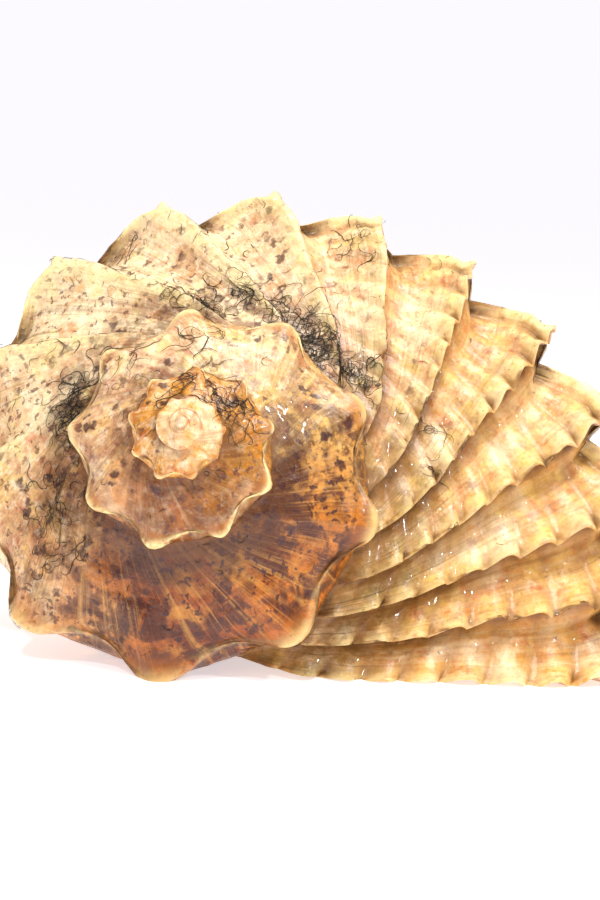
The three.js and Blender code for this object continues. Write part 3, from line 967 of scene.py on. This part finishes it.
def makeOuterLime(material):
    tree = freshTree(material)
    readings = {}
    for name, parts in {"flow": ("along", "across", "turns"), "look": ("rim", "tip", "underEdge"),
                        "wear": ("swell", "furrow", "share")}.items():
        stored = addNode(tree, "Attribute", {"attribute_name": name}).outputs["Vector"]
        split = addNode(tree, "SeparateXYZ", inputs={0: stored})
        readings[name] = stored
        readings.update(zip(parts, split.outputs))
    for name in ("cavity", "grime"):
        readings[name] = addNode(tree, "Attribute", {"attribute_name": name}).outputs["Fac"]

    # what the patterns lie on, all in mm
    place = addNode(tree, "TexCoord").outputs["Object"]
    grounds = {"solid": addNode(tree, "VectorMath", {"operation": "SCALE"}, {
        0: place, "Scale": 1 / mm}).outputs[0]}
    for name, stretch in outerLook["stretches"].items():
        grounds[name] = addNode(tree, "VectorMath", {"operation": "MULTIPLY"}, {
            0: readings["flow"], 1: stretch}).outputs[0]
    for name, (ground, size, detail, rough, distortion) in outerLook["patterns"].items():
        readings[name] = addNode(tree, "TexNoise", None, {
            "Vector": grounds[ground], "Scale": 1 / size, "Detail": detail, "Roughness": rough,
            "Distortion": distortion}).outputs["Fac"]
    wander = addNode(tree, "TexNoise", None, {"Vector": grounds["solid"], **outerLook["spotWander"]})
    warped = addNode(tree, "VectorMath", {"operation": "MULTIPLY_ADD"}, {
        0: wander.outputs["Color"], 1: (outerLook["spotWarp"],) * 3, 2: grounds["solid"]}).outputs[0]
    for name, apart in outerLook["spots"].items():
        readings[name] = addNode(tree, "TexVoronoi", None, {
            "Vector": warped, "Scale": 1 / apart}).outputs["Distance"]

    # growth from 0 to 1, with an uneven front
    uneven = addNode(tree, "Math", {"operation": "MULTIPLY_ADD"}, {
        0: readings["cloud"], 1: outerLook["unevenFront"], 2: readings["turns"]}).outputs[0]
    grown = addNode(tree, "Math", {"operation": "DIVIDE"}, {
        0: uneven, 1: outerLook["wholeGrowth"]}).outputs[0]
    base = addNode(tree, "ValToRGB", inputs={0: grown}, stops=outerLook["ground"]).outputs[0]
    for name, stops in outerLook["zones"].items():
        readings[name] = addNode(tree, "ValToRGB", inputs={0: grown}, stops=stops).outputs[0]
    for name, (reading, none, full) in outerLook["masks"].items():
        readings[name] = addNode(tree, "MapRange", {"interpolation_type": "SMOOTHSTEP"}, {
            "Value": readings[reading], "From Min": none, "From Max": full}).outputs["Result"]

    for colour, strength, blending, *where in outerLook["stainsAndShade"]:
        share = strength
        for name in where:
            share = addNode(tree, "Math", {"operation": "MULTIPLY"}, {
                0: share, 1: readings[name]}).outputs[0]
        base = addNode(tree, "Mix", {"data_type": "RGBA", "blend_type": blending}, {
            0: share, 6: base, 7: linear(colour)}).outputs[2]

    # relief too fine for the mesh
    bump = None
    for name, strength, depth in outerLook["bumps"]:
        layer = {"Height": readings[name], "Strength": strength, "Distance": depth * mm}
        if bump:
            layer["Normal"] = bump
        bump = addNode(tree, "Bump", None, layer).outputs["Normal"]
    rough = addNode(tree, "MapRange", None, {
        "Value": readings["wetPatch"], "To Min": outerLook["roughness"][0],
        "To Max": outerLook["roughness"][1]}).outputs["Result"]
    skin = addNode(tree, "BsdfPrincipled", None, {
        **outerLook["skin"], "Base Color": base, "Roughness": rough, "Normal": bump})
    addNode(tree, "OutputMaterial", inputs={"Surface": skin.outputs[0]})


makeOuterLime(outerLime)

# Inner glaze: the smooth porcelain-like layer that lines the chamber, salmon at the lip
innerLook = {
    "deep": "#f6dcc0",
    "lip": "#e9814f",
    "lipFrom": (2.3, 3.08),     # turns of the spiral
    "stripe": "#f9c99a",
    "stripes": {"Scale": 1.0, "Detail": 3.0},
    "stripeStretch": (0.05, 0.5, 0),
    "stripeFrom": (0.4, 0.65),
    "stripeStrength": 0.5,
    "bump": {"Strength": 0.3, "Distance": 0.0004},
    "glaze": {
        "Roughness": 0.16, "IOR": 1.54, "Subsurface Weight": 0.1,
        "Subsurface Radius": (1.0, 0.4, 0.25), "Subsurface Scale": 0.0015,
        "Coat Weight": 0.5, "Coat Roughness": 0.08,
    },
}


def makeInnerGlaze(material):
    tree = freshTree(material)
    flow = addNode(tree, "Attribute", {"attribute_name": "flow"}).outputs["Vector"]
    turns = addNode(tree, "SeparateXYZ", inputs={0: flow}).outputs["Z"]
    along = addNode(tree, "VectorMath", {"operation": "MULTIPLY"}, {
        0: flow, 1: innerLook["stripeStretch"]}).outputs[0]
    stripes = addNode(tree, "TexNoise", None, {
        "Vector": along, **innerLook["stripes"]}).outputs["Fac"]
    toLip = addNode(tree, "MapRange", None, {
        "Value": turns, "From Min": innerLook["lipFrom"][0], "From Max": innerLook["lipFrom"][1]})
    base = addNode(tree, "Mix", {"data_type": "RGBA"}, {
        0: toLip.outputs[0], 6: linear(innerLook["deep"]), 7: linear(innerLook["lip"])})
    striped = addNode(tree, "MapRange", None, {
        "Value": stripes, "From Min": innerLook["stripeFrom"][0],
        "From Max": innerLook["stripeFrom"][1], "To Max": innerLook["stripeStrength"]})
    base = addNode(tree, "Mix", {"data_type": "RGBA"}, {
        0: striped.outputs[0], 6: base.outputs[2], 7: linear(innerLook["stripe"])})
    bump = addNode(tree, "Bump", None, {"Height": stripes, **innerLook["bump"]})
    glaze = addNode(tree, "BsdfPrincipled", None, {
        **innerLook["glaze"], "Base Color": base.outputs[2], "Normal": bump.outputs[0]})
    addNode(tree, "OutputMaterial", inputs={"Surface": glaze.outputs[0]})


makeInnerGlaze(innerGlaze)

# Dried algae: brown-black threads, dull, a few bleached to straw
algaeLook = {
    "patches": {"Scale": 260.0, "Detail": 3.0},     # to the metre
    "tones": [(0.46, "#140e08"), (0.58, "#33260f"), (0.70, "#7d6238")],
    "skin": {"Roughness": 0.6, "IOR": 1.45},
}


def makeDriedAlgae(material):
    tree = freshTree(material)
    place = addNode(tree, "TexCoord").outputs["Object"]
    patches = addNode(tree, "TexNoise", None, {"Vector": place, **algaeLook["patches"]})
    tone = addNode(tree, "ValToRGB", None, {0: patches.outputs["Fac"]}, algaeLook["tones"])
    skin = addNode(tree, "BsdfPrincipled", None, {
        **algaeLook["skin"], "Base Color": tone.outputs[0]})
    addNode(tree, "OutputMaterial", inputs={"Surface": skin.outputs[0]})


makeDriedAlgae(driedAlgae)
print("shell materials made")

# Studio: seamless paper, a big soft light overhead and an even white surround
studio = {
    "paper": "#fdfbfe",
    "paperGlow": 0.56,          # the paper is lit from behind too, so shadows on it stay pale
    "paperRoughness": 0.85,
    "paperReach": 3.0,          # metres from the middle to each side
    "paperDrop": 0.02,          # mm below the shell's flats, so the two don't share a plane
    "fibres": {"Scale": 900.0, "Detail": 2.0},
    "fibreBump": 0.04,
    "surround": "#fdfaff",
    "surroundLight": 0.45,
    "surroundSeen": 1.0,
    # each softbox: its place and width in metres, and its power in watts
    "softboxes": [
        ((0.08, -0.07, 0.38), 0.16, 1.5),
        ((-0.10, -0.26, 0.34), 0.02, 0.4),
        ((0.20, -0.22, 0.30), 0.02, 0.4),
    ],
    "aim": (0.0, -0.01, 0.03),
}


def makePaper():
    paper = bpy.data.materials.new("seamlessPaper")
    tree = freshTree(paper)
    fibres = addNode(tree, "TexNoise", None, studio["fibres"])
    bump = addNode(tree, "Bump", None, {
        "Height": fibres.outputs["Fac"], "Strength": studio["fibreBump"]})
    colour = linear(studio["paper"])
    sheet = addNode(tree, "BsdfPrincipled", None, {
        "Base Color": colour, "Roughness": studio["paperRoughness"], "Normal": bump.outputs[0],
        "Emission Color": colour, "Emission Strength": studio["paperGlow"]})
    addNode(tree, "OutputMaterial", inputs={"Surface": sheet.outputs[0]})
    reach = studio["paperReach"]
    corners = [(-reach, -reach, 0), (reach, -reach, 0), (reach, reach, 0), (-reach, reach, 0)]
    floor = newObject("studioFloor", corners, [(0, 1, 2, 3)], {}, paper)
    floor.location.z = -studio["paperDrop"] * mm


# The backdrop is overexposed, while the light it gives back is softer
def makeSurround():
    world = bpy.data.worlds.new("studioSurround")
    bpy.context.scene.world = world
    world.use_nodes = True
    tree = world.node_tree
    tree.nodes.clear()
    seen = addNode(tree, "LightPath").outputs["Is Camera Ray"]
    strength = addNode(tree, "MapRange", None, {
        "Value": seen, "To Min": studio["surroundLight"], "To Max": studio["surroundSeen"]})
    glow = addNode(tree, "Background", None, {
        "Color": linear(studio["surround"]), "Strength": strength.outputs[0]})
    addNode(tree, "OutputWorld", inputs={"Surface": glow.outputs[0]})


def makeSoftboxes():
    for spot, width, power in studio["softboxes"]:
        light = bpy.data.lights.new("softbox", "AREA")
        light.size = width
        light.energy = power
        lamp = bpy.data.objects.new("softbox", light)
        lamp.location = spot
        toAim = Vector(studio["aim"]) - Vector(spot)
        lamp.rotation_euler = toAim.to_track_quat("-Z", "Y").to_euler()
        bpy.context.scene.collection.objects.link(lamp)


makePaper()
makeSurround()
makeSoftboxes()

# The camera looks at the apex from a little above, rolled slightly. Its place is in mm, its lens in
# mm on a sensor 36 mm wide, and what is nearer than clipFrom metres isn't drawn.
view = {
    "fromApex": (14.545, -247.944, 32.110),
    "pitch": 82.0,
    "roll": 3.13,
    "lens": 83.15,
    "sensor": 36,
    "clipFrom": 0.01,
}


def makeCamera():
    camera = bpy.data.objects.new("camera", bpy.data.cameras.new("camera"))
    camera.data.lens = view["lens"]
    camera.data.sensor_width = view["sensor"]
    camera.data.clip_start = view["clipFrom"]
    apex = shellLow + Vector(growth["apexFromBox"]) * mm
    camera.location = apex + Vector(view["fromApex"]) * mm
    pitch = Euler((math.radians(view["pitch"]), 0, 0)).to_matrix()
    camera.rotation_euler = (pitch @ Matrix.Rotation(math.radians(view["roll"]), 3, "Z")).to_euler()
    bpy.context.scene.collection.objects.link(camera)
    bpy.context.scene.camera = camera


makeCamera()
bpy.context.scene.view_settings.view_transform = "Standard"
print("studio ready")
